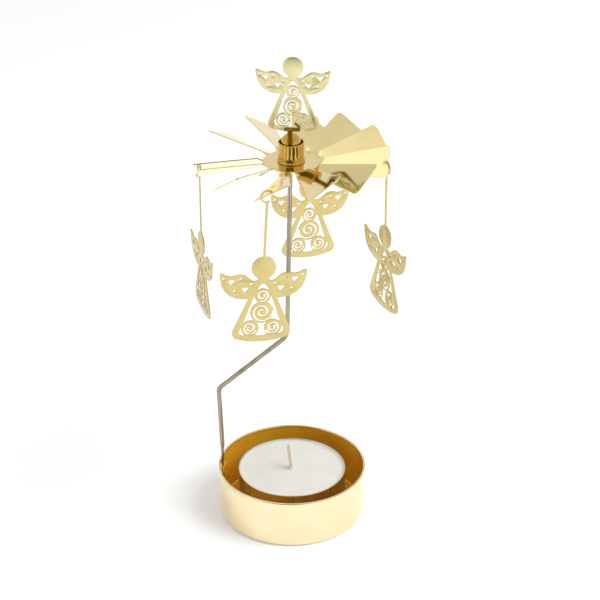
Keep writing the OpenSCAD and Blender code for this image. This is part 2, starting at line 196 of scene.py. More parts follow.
@dataclass(frozen=True)
class Finish:
    """A finish that turns itself into one material."""

    name: str
    colour: str
    shade: str

    def start(self, values: Optional[dict] = None) -> tuple[Material, NodeTree, Node]:
        """Makes the empty material, of bare metal if nothing else is said.

        Args:
            values: Shader input name to its value.

        Returns:
            The material, its tree and its shader node.
        """
        return new_material(self.name, {"Metallic": 1.0, **(values or {})})

    def grain(
        self,
        tree: NodeTree,
        size_mm: float,
        stretch: tuple[float, float, float] = (1, 1, 1),
        turn: tuple[float, float, float] = (0, 0, 0),
        detail: float = 3,
    ) -> NodeSocket:
        """Lays a noise on the piece whose blobs have a real size.

        Args:
            tree: The material's tree.
            size_mm: Size of a blob in mm.
            stretch: How many times longer a blob is along each axis.
            turn: Turn of the pattern in radians.
            detail: Octaves of finer noise.

        Returns:
            The noise, mostly between 0.3 and 0.7.
        """
        where = add(tree, "ShaderNodeTexCoord").outputs["Object"]
        fit = {"Scale": tuple(1 / s for s in stretch), "Rotation": turn}
        mapped = add(tree, "ShaderNodeMapping", fit, {"Vector": where}).outputs["Vector"]
        values = {"Scale": 1 / (size_mm * MM), "Detail": detail, "Roughness": 0.5}
        return add(tree, "ShaderNodeTexNoise", values, {"Vector": mapped}).outputs["Fac"]

    def tint(self, tree: NodeTree, shader: Node, noise: NodeSocket, share: float = 1.0) -> None:
        """Clouds the surface from its colour towards its shade.

        Args:
            tree: The material's tree.
            shader: The shader.
            noise: The noise that the clouds follow.
            share: How far the darkest cloud goes towards the shade.
        """
        reach = {"From Min": NOISE_LOW, "From Max": NOISE_HIGH, "To Min": 0.0, "To Max": share}
        factor = add(tree, "ShaderNodeMapRange", reach, {"Value": noise}).outputs["Result"]
        ends = {6: linear(self.colour), 7: linear(self.shade)}
        mixed = add(tree, "ShaderNodeMix", ends, {0: factor}, data_type="RGBA").outputs[2]
        tree.links.new(mixed, shader.inputs["Base Color"])

    def dull(
        self, tree: NodeTree, shader: Node, noise: NodeSocket, smoothest: float, roughest: float
    ) -> None:
        """Varies the roughness over the surface.

        Args:
            tree: The material's tree.
            shader: The shader.
            noise: The noise that it follows.
            smoothest: Roughness where the noise is low.
            roughest: Roughness where the noise is high.
        """
        reach = {"From Min": NOISE_LOW, "From Max": NOISE_HIGH, "To Min": smoothest, "To Max": roughest}
        rough = add(tree, "ShaderNodeMapRange", reach, {"Value": noise}).outputs["Result"]
        tree.links.new(rough, shader.inputs["Roughness"])

    def emboss(self, tree: NodeTree, shader: Node, *layers: tuple[NodeSocket, float]) -> None:
        """Presses noises into the surface, each to a real depth.

        Args:
            tree: The material's tree.
            shader: The shader.
            *layers: Each noise and its depth in mm, the coarsest first.
        """
        under = {}
        for noise, depth_mm in layers:
            values = {"Strength": 1.0, "Distance": depth_mm * MM}
            bump = add(tree, "ShaderNodeBump", values, {"Height": noise, **under})
            under = {"Normal": bump.outputs["Normal"]}
        tree.links.new(under["Normal"], shader.inputs["Normal"])


@dataclass(frozen=True)
class PolishedBrass(Finish):
    """Rolled brass sheet, buffed and lacquered: a warm, faintly wavy mirror with hair-fine lines."""

    roughness: float = 0.07
    wave_mm: float = 9.0
    wave_depth_mm: float = 0.02
    line_mm: float = 0.16
    line_depth_mm: float = 0.0006
    metallic: float = 1.0

    def build(self) -> Material:
        """Makes the material."""
        material, tree, shader = self.start({"Metallic": self.metallic})
        cloud = self.grain(tree, 7, detail=4)
        haze = self.grain(tree, 3, detail=5)
        wave = self.grain(tree, self.wave_mm, detail=1)
        lines = self.grain(tree, self.line_mm, (22, 1, 1), (0, 0, 0.6), detail=2)
        self.tint(tree, shader, cloud, 0.5)
        self.dull(tree, shader, haze, self.roughness * 0.7, self.roughness * 1.5)
        self.emboss(tree, shader, (wave, self.wave_depth_mm), (lines, self.line_depth_mm))
        return material


@dataclass(frozen=True)
class EtchedBrass(Finish):
    """Thin brass etched to shape: an even satin gilt with the etch's fine pebbled skin."""

    roughness: float = 0.28
    bend_depth_mm: float = 0.008
    pebble_mm: float = 0.22
    pebble_depth_mm: float = 0.0015

    def build(self) -> Material:
        """Makes the material."""
        material, tree, shader = self.start()
        cloud = self.grain(tree, 5, detail=4)
        bend = self.grain(tree, 12, detail=1)
        pebble = self.grain(tree, self.pebble_mm, detail=2)
        self.tint(tree, shader, cloud, 0.6)
        self.dull(tree, shader, cloud, self.roughness * 0.85, self.roughness * 1.2)
        self.emboss(tree, shader, (bend, self.bend_depth_mm), (pebble, self.pebble_depth_mm))
        return material


@dataclass(frozen=True)
class DrawnWire(Finish):
    """Hard-drawn steel wire: grey-brown metal with lines from the die along its length."""

    roughness: float = 0.3
    line_mm: float = 0.2
    line_depth_mm: float = 0.006

    def build(self) -> Material:
        """Makes the material."""
        material, tree, shader = self.start()
        lines = self.grain(tree, self.line_mm, (1, 1, 40))
        cloud = self.grain(tree, 4, (1, 1, 3))
        self.tint(tree, shader, cloud)
        self.dull(tree, shader, lines, self.roughness * 0.7, self.roughness * 1.3)
        self.emboss(tree, shader, (lines, self.line_depth_mm))
        return material


@dataclass(frozen=True)
class DrawnFoil(Finish):
    """Deep-drawn aluminium foil: bright, soft metal with upright draw marks and small creases."""

    roughness: float = 0.22
    crease_depth_mm: float = 0.03
    mark_depth_mm: float = 0.003

    def build(self) -> Material:
        """Makes the material."""
        material, tree, shader = self.start()
        marks = self.grain(tree, 0.5, (1, 1, 14))
        crease = self.grain(tree, 3.5, detail=4)
        self.tint(tree, shader, crease)
        self.dull(tree, shader, marks, self.roughness * 0.7, self.roughness * 1.4)
        self.emboss(tree, shader, (crease, self.crease_depth_mm), (marks, self.mark_depth_mm))
        return material


@dataclass(frozen=True)
class Paraffin(Finish):
    """Cast paraffin wax: milky, lit from inside, with a dull skin and faint cooling marks."""

    roughness: float = 0.42
    mottle_depth_mm: float = 0.05

    def build(self) -> Material:
        """Makes the material."""
        values = {
            "Metallic": 0.0,
            "IOR": 1.43,
            "Subsurface Weight": 0.35,
            "Subsurface Radius": (1.0, 0.9, 0.8),
            "Subsurface Scale": 2 * MM,
        }
        material, tree, shader = self.start(values)
        mottle = self.grain(tree, 6, detail=4)
        self.tint(tree, shader, mottle)
        self.dull(tree, shader, mottle, self.roughness * 0.85, self.roughness * 1.2)
        self.emboss(tree, shader, (mottle, self.mottle_depth_mm))
        return material


@dataclass(frozen=True)
class WaxedCotton(Finish):
    """Braided cotton dipped in wax: cream fibre, slightly darker between the strands."""

    fibre_mm: float = 0.09
    fibre_depth_mm: float = 0.03

    def build(self) -> Material:
        """Makes the material."""
        material, tree, shader = self.start({"Metallic": 0.0, "Roughness": 0.7, "Sheen Weight": 0.3})
        fibre = self.grain(tree, self.fibre_mm, (1, 1, 5), (0.5, 0.3, 0), detail=2)
        blotch = self.grain(tree, 0.8)
        self.tint(tree, shader, blotch)
        self.emboss(tree, shader, (fibre, self.fibre_depth_mm))
        return material


@dataclass(frozen=True)
class TinPlate(Finish):
    """Tinned steel stamping: pale grey with the mottle of cold tin."""

    def build(self) -> Material:
        """Makes the material."""
        material, tree, shader = self.start()
        mottle = self.grain(tree, 1.2)
        self.tint(tree, shader, mottle)
        self.dull(tree, shader, mottle, 0.25, 0.45)
        return material


# Lacquered brass, drawn to a cup: a pale, nearly white gold, with soft edges to what it mirrors
CUP_OUTSIDE = PolishedBrass("cup_brass_outside", "F4E4BF", "EEDBAC", roughness=0.12, wave_depth_mm=0.012)
# The same brass seen in itself again and again gives the inner wall a deep orange gold; this copy has that
# painted into its colour: painted reflection
CUP_INSIDE_PAINTED_REFLECTION = PolishedBrass(
    "cup_brass_inside_painted_reflection",
    "F6C438",
    "EEB82A",
    roughness=0.2,
    wave_depth_mm=0.004,
    line_depth_mm=0.0002,
    metallic=0.45,
)
# Thin rolled brass, bent by hand: a sharp mirror that its long waves pull about
FAN_SHEET = PolishedBrass("fan_brass", "F5E3A9", "ECD697", roughness=0.07, wave_mm=11, wave_depth_mm=0.025)
# Turned and buffed brass: the sharpest mirror, of a deeper gold, with streaks of what stands round it
HUB_BRASS = PolishedBrass("hub_brass", "D2AE5E", "C49C48", roughness=0.06, wave_mm=5, wave_depth_mm=0.008)
# Brass of a darker brown than the other pieces, with a dim gloss
STAND_BRASS = PolishedBrass(
    "stand_brass", "8F6C17", "6E5310", roughness=0.16, wave_mm=4, wave_depth_mm=0.01
)
# Etched brass: flat, satin and even. The top figure's paler copy of it is painted light, set to how much
# lighter that figure looks
FIGURE_SHEET = EtchedBrass("figure_brass", "CDBE82", "C8B678")
TOP_SHEET_PAINTED_LIGHT = EtchedBrass("top_figure_brass_painted_light", "E2D7A6", "DDD09A")
# Drawn steel wire: grey-brown, with a soft line of light along it
MAST_WIRE = DrawnWire("mast_steel_wire", "B3A893", "8F8470", roughness=0.2)
# Aluminium foil: bright and slightly creased. Its colour is warmed towards the gold of the cup round it:
# painted reflection
FOIL = DrawnFoil("tealight_foil", "EEE6D2", "E2D9C2", roughness=0.32)
# Paraffin: soft white without a sharp gloss
WAX = Paraffin("tealight_paraffin", "DCDBD4", "D6D5CD")
# Waxed cotton: cream and dull. Its fibres are drawn coarser than real ones, so that they show
COTTON = WaxedCotton("wick_cotton", "F1EAD6", "DDD3B6")
# Tinned steel: pale mottled grey, out of sight under the wax
TIN = TinPlate("wick_foot_tin", "C9C9C6", "AFAFAA")


# Mesh helpers


def as_object(name: str, mesh: Mesh, sharp: float = 40) -> Object:
    """Puts a mesh in the scene as a piece with smooth shading.

    Args:
        name: The piece's name.
        mesh: The mesh, its place already in its points, in metres.
        sharp: Angle in degrees above which an edge stays sharp.

    Returns:
        The new object.
    """
    mesh.shade_smooth()
    mesh.set_sharp_from_angle(angle=math.radians(sharp))
    return put_in_scene(name, mesh)


def mesh_from(name: str, points: Sequence[Sequence[float]], faces: Sequence[Sequence[int]]) -> Mesh:
    """Makes a mesh from points in mm.

    Args:
        name: The mesh's name.
        points: Points in mm.
        faces: Point numbers of each face.

    Returns:
        The mesh in metres, its doubles merged and its faces turned outwards.
    """
    mesh = bpy.data.meshes.new(name)
    mesh.from_pydata([[c * MM for c in p] for p in points], [], faces)
    tidy = bmesh.new()
    tidy.from_mesh(mesh)
    bmesh.ops.remove_doubles(tidy, verts=tidy.verts, dist=1e-7)
    bmesh.ops.recalc_face_normals(tidy, faces=tidy.faces)
    tidy.to_mesh(mesh)
    tidy.free()
    return mesh


def lathe(name: str, section: Sequence[tuple[float, float]], steps: int = 192, sharp: float = 40) -> Object:
    """Turns a closed section about the Z axis.

    Args:
        name: The piece's name.
        section: Radius and height of each corner in mm, as a closed loop.
        steps: Number of steps round the axis.
        sharp: Angle in degrees above which an edge stays sharp.

    Returns:
        The turned piece.
    """
    points, faces, rings = [], [], []
    for radius, height in section:
        count = steps if radius > 1e-6 else 1
        rings.append((len(points), count))
        for i in range(count):
            a = math.tau * i / steps
            points.append((radius * math.cos(a), radius * math.sin(a), height))
    for (low, low_n), (high, high_n) in zip(rings, rings[1:] + rings[:1]):
        if low_n == 1 and high_n == 1:
            continue
        for i in range(steps):
            j = (i + 1) % steps
            corners = [low + i % low_n, low + j % low_n, high + j % high_n, high + i % high_n]
            faces.append(list(dict.fromkeys(corners)))
    return as_object(name, mesh_from(name, points, faces), sharp)


def dress(piece: Object, *materials: Material) -> None:
    """Gives a piece its materials, in slot order."""
    piece.data.materials.clear()
    for material in materials:
        piece.data.materials.append(material)


def settle(piece: Object, body: str, slot: Slot, *nodes: str) -> None:
    """Ties a piece to its body and hides the nodes it stands for.

    Args:
        piece: The finished piece.
        body: The body it moves with.
        slot: The record's slot; not used.
        *nodes: Nodes that it replaces.
    """
    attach(piece, body)
    if nodes:
        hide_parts(*nodes)
    log.info("%s: %d faces on %s", piece.name, len(piece.data.polygons), body)


def round_off(shape: BMesh, edges: Sequence[BMEdge], width_mm: float) -> None:
    """Rounds the edges of a shape off.

    Args:
        shape: The shape.
        edges: Edges to round.
        width_mm: Width of the rounding in mm.
    """
    width = width_mm * MM
    bmesh.ops.bevel(
        shape, geom=edges, offset=width, segments=2, profile=0.5, affect="EDGES", clamp_overlap=True
    )


def softened(node: str, name: str, width_mm: float) -> Object:
    """Copies a node with its sheared edges rounded off.

    Args:
        node: The node to copy.
        name: Name of the new piece.
        width_mm: Width of the rounding in mm.

    Returns:
        The new piece.
    """
    mesh = frame["nodes"][node].data.copy()
    shape = bmesh.new()
    shape.from_mesh(mesh)
    bmesh.ops.remove_doubles(shape, verts=shape.verts, dist=2e-6)
    bmesh.ops.dissolve_limit(shape, angle_limit=math.radians(1), verts=shape.verts, edges=shape.edges)
    rims = [e for e in shape.edges if len(e.link_faces) == 2 and e.calc_face_angle(0) > math.radians(60)]
    round_off(shape, rims, width_mm)
    shape.to_mesh(mesh)
    shape.free()
    return as_object(name, mesh, 30)


def apply_tree(name: str, tree: NodeTree, inputs: dict[str, object], sharp: float = 40) -> Object:
    """Runs a geometry tree and keeps its result as a plain mesh.

    Args:
        name: The piece's name.
        tree: The geometry tree.
        inputs: Input name to its value.
        sharp: Angle in degrees above which an edge stays sharp.

    Returns:
        The new piece.
    """
    host = put_in_scene(name + "_host", bpy.data.meshes.new(name + "_host"))
    modifier = host.modifiers.new("shape", "NODES")
    modifier.node_group = tree
    keys = {item.name: item.identifier for item in tree.interface.items_tree if item.item_type == "SOCKET"}
    for label, value in inputs.items():
        modifier[keys[label]] = value
    bpy.context.view_layer.update()
    graph = bpy.context.evaluated_depsgraph_get()
    mesh = bpy.data.meshes.new_from_object(host.evaluated_get(graph))
    mesh.name = name
    host.modifiers.remove(modifier)
    bpy.data.objects.remove(host)
    return as_object(name, mesh, sharp)


def new_tree(name: str, inputs: dict[str, str]) -> tuple[NodeTree, Node]:
    """Starts a geometry tree, whose last input is the finish.

    Args:
        name: The tree's name.
        inputs: Input name to its socket type.

    Returns:
        The tree and its input node.
    """
    tree = bpy.data.node_groups.new(name, "GeometryNodeTree")
    tree.interface.new_socket("Geometry", in_out="OUTPUT", socket_type="NodeSocketGeometry")
    for label, kind in {**inputs, "Finish": "NodeSocketMaterial"}.items():
        tree.interface.new_socket(label, in_out="INPUT", socket_type=kind)
    return tree, tree.nodes.new("NodeGroupInput")


def end_tree(tree: NodeTree, source: Node, shape: NodeSocket) -> None:
    """Ends a geometry tree with one real, dressed mesh.

    Args:
        tree: The tree.
        source: Its input node.
        shape: The finished shape.
    """
    solid = add(tree, "GeometryNodeRealizeInstances", links={"Geometry": shape}).outputs[0]
    skin = {"Geometry": solid, "Material": source.outputs["Finish"]}
    dressed = add(tree, "GeometryNodeSetMaterial", links=skin).outputs[0]
    tree.links.new(dressed, tree.nodes.new("NodeGroupOutput").inputs[0])


# Cup


@dataclass
class CandleCup:
    """Drawn brass cup with a rolled rim, and the strap lanced out of its wall. Sizes in mm."""

    rim_r: float = 26.25
    rim_bead: float = 0.9
    height: float = 18.0
    sheet: float = 0.4
    corner_r: float = 1.5
    strap_top: float = 16.2
    strap_height: float = 3.0
    strap_out_r: float = 24.47
    strap_half: float = 1.38
    strap_lap: float = 1.1
    strap_bend_r: float = 0.35
    strap_edge_r: float = 0.08
    slip: float = 0.08
    foot_in_r: float = 16.0
    foot_out_r: float = 17.6
    foot_lift: float = 0.3
    window_steps: int = 10
    steps: int = 256

    @property
    def wall_out(self) -> float:
        """Outer radius of the wall."""
        return self.rim_r - (self.rim_bead - self.sheet) / 2

    @property
    def wall_in(self) -> float:
        """Inner radius of the wall."""
        return self.wall_out - self.sheet

    def section(self) -> list[tuple[float, float]]:
        """Closed section from the middle of the underside, round the rim, to the middle of the floor."""
        bead_r = self.rim_bead / 2
        bead = (self.rim_r - bead_r, self.height - bead_r)
        corner = (self.wall_out - self.corner_r, self.corner_r)
        low = self.strap_top - self.strap_height
        walls = [low * 0.4, low * 0.75, low, self.strap_top, self.strap_top + 0.5]
        foot_mid_r = (self.foot_in_r + self.foot_out_r) / 2
        lift = self.foot_lift
        dish = [(0.0, lift), (self.foot_in_r, lift), (foot_mid_r, 0.4 * lift), (self.foot_out_r, 0.0)]
        rise = math.degrees(math.asin((self.wall_out - bead[0]) / bead_r))
        over = arc(bead, bead_r, -rise, 180 + rise, 20)
        return [
            *dish,
            *arc(corner, self.corner_r, -90, 0, 10),
            *[(self.wall_out, z) for z in walls],
            *over,
            *[(self.wall_in, z) for z in reversed(walls)],
            *arc(corner, self.corner_r - self.sheet, 0, -90, 10),
            *[(r, z + self.sheet) for r, z in reversed(dish)],
        ]

    def shell(self) -> Object:
        """Builds the cup with its window left open."""
        half = self.strap_half + self.wall_in - self.strap_out_r
        edge = math.asin(half / self.wall_out)
        gap = self.window_steps
        turn = [math.pi - edge + 2 * edge * i / gap for i in range(gap)]
        turn += [math.pi + edge + (math.tau - 2 * edge) * i / self.steps for i in range(self.steps)]
        section = self.section()
        count = len(turn)
        points = [(r * math.cos(a), r * math.sin(a), z) for r, z in section for a in turn]
        low, high = self.strap_top - self.strap_height, self.strap_top
        faces = []
        open_rows = []
        for row in range(len(section) - 1):
            (_, z0), (_, z1) = section[row], section[row + 1]
            in_window = min(z0, z1) >= low - 1e-6 and max(z0, z1) <= high + 1e-6
            if in_window:
                open_rows.append(row)
            for i in range(count):
                if in_window and i < gap:
                    continue
                j = (i + 1) % count
                faces.append(
                    (row * count + i, row * count + j, (row + 1) * count + j, (row + 1) * count + i)
                )
        outer, inner = open_rows
        for i in (0, gap):
            faces.append(
                (outer * count + i, (outer + 1) * count + i, inner * count + i, (inner + 1) * count + i)
            )
        for i in range(gap):
            for a, b in ((outer, inner + 1), (outer + 1, inner)):
                faces.append((a * count + i, a * count + i + 1, b * count + i + 1, b * count + i))
        return as_object("cup_shell", mesh_from("cup_shell", points, faces), 35)

    def strap(self, finish: Material) -> Object:
        """Builds the strap that stands inwards from the wall and holds the mast's foot.

        Args:
            finish: The strap's material.

        Returns:
            The strap.
        """
        middle = self.strap_out_r - self.sheet / 2
        ramp = self.wall_in - self.strap_out_r
        root = self.strap_half + ramp
        wall = self.wall_in + self.sheet / 2
        path = [
            (-math.sqrt(wall**2 - (root + self.strap_lap) ** 2), root + self.strap_lap),
            (-math.sqrt(wall**2 - root**2), root + 0.1),
            (-middle, self.strap_half + 0.02),
        ]
        path += [(x, -y) for x, y in reversed(path)]
        tree, source = new_tree("strap_band", {"Width": "NodeSocketFloat", "Thickness": "NodeSocketFloat"})
        corners = [Vector((x * MM, y * MM, 0)) for x, y in path]
        joined = add(tree, "GeometryNodeJoinGeometry")
        for a, b in reversed(list(zip(corners, corners[1:]))):
            line = add(tree, "GeometryNodeCurvePrimitiveLine", {"Start": a, "End": b})
            tree.links.new(line.outputs["Curve"], joined.inputs[0])
        as_mesh = add(tree, "GeometryNodeCurveToMesh", links={"Curve": joined.outputs[0]}).outputs[0]
        merged = add(tree, "GeometryNodeMergeByDistance", {"Distance": 1e-6}, {"Geometry": as_mesh})
        chain = add(tree, "GeometryNodeMeshToCurve", links={"Mesh": merged.outputs[0]})
        sides = {"Width": source.outputs["Thickness"], "Height": source.outputs["Width"]}
        plate = add(tree, "GeometryNodeCurvePrimitiveQuadrilateral", links=sides)
        rounded = []
        for curve, count, radius in ((chain, 6, self.strap_bend_r), (plate, 3, self.strap_edge_r)):
            corner = {"Count": count, "Radius": radius * MM, "Limit Radius": True}
            along = {"Curve": curve.outputs[0]}
            rounded.append(add(tree, "GeometryNodeFilletCurve", corner, along, mode="POLY").outputs[0])
        ways = {"Curve": rounded[0], "Profile Curve": rounded[1]}
        swept = add(tree, "GeometryNodeCurveToMesh", {"Fill Caps": True}, ways).outputs[0]
        height = self.strap_top - self.strap_height / 2
        raised = {"Translation": (0, 0, height * MM)}
        end_tree(tree, source, add(tree, "GeometryNodeTransform", raised, {"Geometry": swept}).outputs[0])
        width = (self.strap_height - 2 * self.slip) * MM
        inputs = {"Width": width, "Thickness": self.sheet * MM, "Finish": finish}
        return apply_tree("cup_strap", tree, inputs)

    def build(self) -> None:
        """Makes and dresses the cup."""
        # The inner brass is the copy with painted reflection; it goes on the inner wall and on the strap
        outside, inside = CUP_OUTSIDE.build(), CUP_INSIDE_PAINTED_REFLECTION.build()
        shell = self.shell()
        dress(shell, outside, inside)
        # Faces of the inner wall take the copy with painted reflection
        for face in shell.data.polygons:
            centre = face.center / MM
            inner = math.hypot(centre.x, centre.y) < self.wall_in + 0.02 and centre.z > self.sheet - 0.02
            if inner and centre.z < self.height - self.rim_bead:
                face.material_index = 1
        settle(shell, Body.BASE.value, Slot.CUP, "candle_cup")
        settle(self.strap(inside), Body.BASE.value, Slot.CUP)


# Candle


@dataclass
class Tealight:
    """Standard tealight: foil shell, wax, braided wick and its tin foot. Sizes in mm."""

    floor_z: float = 0.4
    radius: float = 19.0
    height: float = 16.1
    foil: float = 0.25
    wax_drop: float = 0.7
    wax_lift: float = 0.6
    wax_gap: float = 0.02
    wax_dip: float = 0.12
    wax_corner: float = 1.0
    climb_w: float = 1.6
    climb_h: float = 0.55
    well_in_r: float = 0.7
    well_out_r: float = 1.9
    well_h: float = 0.35
    wick_out: float = 10.0
    wick_lean: float = 6.0
    strand_r: float = 0.58
    lay_r: float = 0.43
    foot_in_r: float = 14.0
    foot_out_r: float = 15.6
    foot_lift: float = 0.3

    @property
    def wax_top(self) -> float:
        """Height of the wax's flat surface."""
        return self.floor_z + self.height - self.wax_drop

    def shell(self) -> Object:
        """Builds the foil shell with its rolled rim and its raised bottom ring."""
        r, z, t = self.radius, self.floor_z, self.foil
        top = z + self.height
        rim = arc((r - 0.2, top - 0.25), 0.25, -30, 230, 14)
        lift, mid_r = self.foot_lift, (self.foot_in_r + self.foot_out_r) / 2
        dish = [(0.0, z + lift), (self.foot_in_r, z + lift), (mid_r, z + lift / 6), (self.foot_out_r, z)]
        section = [
            *dish,
            *arc((r - 0.8, z + 0.8), 0.8, -90, 0, 8),
            (r, z + self.height * 0.5),
            *rim,
            (r - t, z + self.height * 0.5),
            *arc((r - 0.8, z + 0.8), 0.8 - t, 0, -90, 8),
            *[(x, y + t) for x, y in reversed(dish)],
        ]
        return lathe("tealight_shell_foil", section, 256, 50)

    def wax(self) -> Object:
        """Builds the wax with the low meniscus at its rim and at the wick."""
        r, top = self.radius - self.foil - self.wax_gap, self.wax_top
        low, level = self.floor_z + self.wax_lift, top - self.wax_dip
        edge_w, well_r, mid_r = self.climb_w, self.well_in_r, self.well_out_r
        climb = [(r - edge_w + edge_w * i / 8, level + self.climb_h * (i / 8) ** 2.2) for i in range(9)]
        dish = [(mid_r + (r - (mid_r + edge_w)) * i / 14, level) for i in range(14)]
        brim, fall, spread = top + self.well_h, self.well_h + self.wax_dip, mid_r - well_r
        well = [(well_r + spread * i / 6, brim - fall * smoothstep(i / 6)) for i in range(6)]
        corner = [(r - self.wax_corner, low), (r, low + self.wax_corner)]
        section = [(0.0, low), *corner, *reversed(climb), *reversed(dish), *reversed(well), (0.0, brim)]
        return lathe("tealight_wax_cast", section, 160, 60)

    def wick(self) -> Object:
        """Builds the wick as three strands twisted round one leaning line."""
        kinds = {
            "Strands": "NodeSocketInt",
            "Strand Radius": "NodeSocketFloat",
            "Lay Radius": "NodeSocketFloat",
            "Turns": "NodeSocketFloat",
            "Start": "NodeSocketVector",
            "Bend": "NodeSocketVector",
            "End": "NodeSocketVector",
        }
        tree, source = new_tree("wick_braid", kinds)
        given = source.outputs
        ends = {"Start": given["Start"], "Middle": given["Bend"], "End": given["End"]}
        spine = add(tree, "GeometryNodeCurveQuadraticBezier", {"Resolution": 90}, ends).outputs[0]
        angle = add(tree, "ShaderNodeMath", {1: math.tau}, {0: given["Turns"]}, operation="MULTIPLY")
        share = {0: angle.outputs[0], 1: add(tree, "GeometryNodeSplineParameter").outputs["Factor"]}
        along = add(tree, "ShaderNodeMath", links=share, operation="MULTIPLY").outputs[0]
        tilted = add(tree, "GeometryNodeSetCurveTilt", links={"Curve": spine, "Tilt": along})
        lay = {"Vertices": given["Strands"], "Radius": given["Lay Radius"]}
        ring = add(tree, "GeometryNodeMeshCircle", links=lay).outputs[0]
        size = {"Radius": given["Strand Radius"]}
        strand = add(tree, "GeometryNodeCurvePrimitiveCircle", {"Resolution": 10}, size).outputs[0]
        spread = add(tree, "GeometryNodeInstanceOnPoints", links={"Points": ring, "Instance": strand})
        profile = add(tree, "GeometryNodeRealizeInstances", links={"Geometry": spread.outputs[0]})
        ways = {"Curve": tilted.outputs[0], "Profile Curve": profile.outputs[0]}
        end_tree(tree, source, add(tree, "GeometryNodeCurveToMesh", {"Fill Caps": True}, ways).outputs[0])
        lean = math.radians(self.wick_lean)
        base = self.wax_top - 1.2
        top = self.wick_out - 0.15
        inputs = {
            "Strands": 3,
            "Strand Radius": self.strand_r * MM,
            "Lay Radius": self.lay_r * MM,
            "Turns": 2.6,
            "Start": (0, 0, base * MM),
            "Bend": (-0.5 * math.sin(lean) * MM, 0, (self.wax_top + 3) * MM),
            "End": (-top * math.sin(lean) * MM, 0, (self.wax_top + top * math.cos(lean)) * MM),
            "Finish": COTTON.build(),
        }
        return apply_tree("wick_braided", tree, inputs, 60)

    def build(self) -> None:
        """Makes and dresses the candle."""
        for piece, finish, slot, node in (
            # The foil's warm tone is painted reflection of the cup
            (self.shell(), FOIL, Slot.SHELL, "tealight_shell"),
            (self.wax(), WAX, Slot.WAX, "tealight_wax"),
        ):
            dress(piece, finish.build())
            settle(piece, Body.CANDLE.value, slot, node)
        settle(self.wick(), Body.CANDLE.value, Slot.WICK, "wick")
        dress(frame["nodes"]["wick_foot"], TIN.build())


# Mast


@dataclass
class Mast:
    """Bent wire mast, flattened at its foot and pointed at its top. Sizes in mm."""

    wire_d: float = 1.6
    foot_x: float = -24.9
    foot_z: float = 1.9
    flat_x: float = 0.7
    flat_y: float = 2.4
    flat_top: float = 24.0
    flat_ease_from: float = 3.0
    flat_ease: float = 3.4
    squareness: float = 0.72
    elbow: tuple[float, float] = (-25.75, 47.4)
    crook: tuple[float, float] = (-1.5, 69.7)
    point_z: float = 144.85
    flat_bend_r: float = 8.0
    elbow_r: float = 3.0
    crook_r: float = 6.0
    taper: float = 2.4
    tip_r: float = 0.15
    sides: int = 40

    def line(self) -> list[Vector]:
        """Centre line of the wire with its two bends rounded."""
        corners = [
            Vector((self.foot_x, self.foot_z)),
            Vector((self.foot_x, self.flat_top)),
            Vector(self.elbow),
            Vector(self.crook),
            Vector((0.0, self.point_z)),
        ]
        radii = [0.0, self.flat_bend_r, self.elbow_r, self.crook_r, 0.0]
        path = [corners[0]]
        for before, here, after, radius in zip(corners, corners[1:], corners[2:], radii[1:]):
            into, out = (here - before).normalized(), (after - here).normalized()
            turn = into.angle(out)
            reach = radius * math.tan(turn / 2)
            side = (out - into).normalized()
            centre = here + side * (radius / math.cos(turn / 2))
            start = here - into * reach - centre
            sign = 1.0 if into.x * out.y - into.y * out.x > 0 else -1.0
            for i in range(13):
                a = sign * turn * i / 12
                path.append(
                    centre + Vector(
                        (
                            start.x * math.cos(a) - start.y * math.sin(a),
                            start.x * math.sin(a) + start.y * math.cos(a),
                        )
                    )
                )
        path.append(corners[-1])
        fine = [path[0]]
        for a, b in zip(path, path[1:]):
            pieces = max(1, math.ceil((b - a).length / 1.0))
            fine += [a.lerp(b, (i + 1) / pieces) for i in range(pieces)]
        return fine

    def ring(
        self, centre: Vector, along: Vector, height: float, left: float
    ) -> list[tuple[float, float, float]]:
        """One ring of points round the wire.

        Args:
            centre: Centre in X and Z.
            along: Direction of the wire in X and Z.
            height: Height of the ring, which sets how flat it is.
            left: Length of wire left to the point.

        Returns:
            The ring's points.
        """
        wire_r = self.wire_d / 2
        flat = 1 - smoothstep((height - self.flat_top + self.flat_ease_from) / self.flat_ease)
        end = min(1.0, (self.tip_r + (wire_r - self.tip_r) * left / self.taper) / wire_r)
        half_x = wire_r * (1 - flat) + self.flat_x / 2 * flat
        half_y = wire_r * (1 - flat) + self.flat_y / 2 * flat
        power = 1 - self.squareness * flat
        across = Vector((along.y, -along.x))
        points = []
        for i in range(self.sides):
            a = math.tau * i / self.sides
            c, s = math.cos(a), math.sin(a)
            u = half_x * math.copysign(abs(c) ** power, c) * end
            v = half_y * math.copysign(abs(s) ** power, s) * end
            points.append((centre.x + across.x * u, v, centre.y + across.y * u))
        return points

    def build(self) -> None:
        """Makes and dresses the mast."""
        line = self.line()
        total = [0.0]
        for a, b in zip(line, line[1:]):
            total.append(total[-1] + (b - a).length)
        points, faces = [], []
        for i, centre in enumerate(line):
            along = (line[min(i + 1, len(line) - 1)] - line[max(i - 1, 0)]).normalized()
            points += self.ring(centre, along, centre.y, total[-1] - total[i])
        n = self.sides
        for row in range(len(line) - 1):
            for i in range(n):
                j = (i + 1) % n
                faces.append((row * n + i, row * n + j, (row + 1) * n + j, (row + 1) * n + i))
        faces.append(tuple(range(n)))
        faces.append(tuple(range((len(line) - 1) * n, len(line) * n)))
        piece = as_object("mast_wire", mesh_from("mast_wire", points, faces), 50)
        dress(piece, MAST_WIRE.build())
        settle(piece, Body.MAST.value, Slot.MAST, "mast_rod")


# Fan


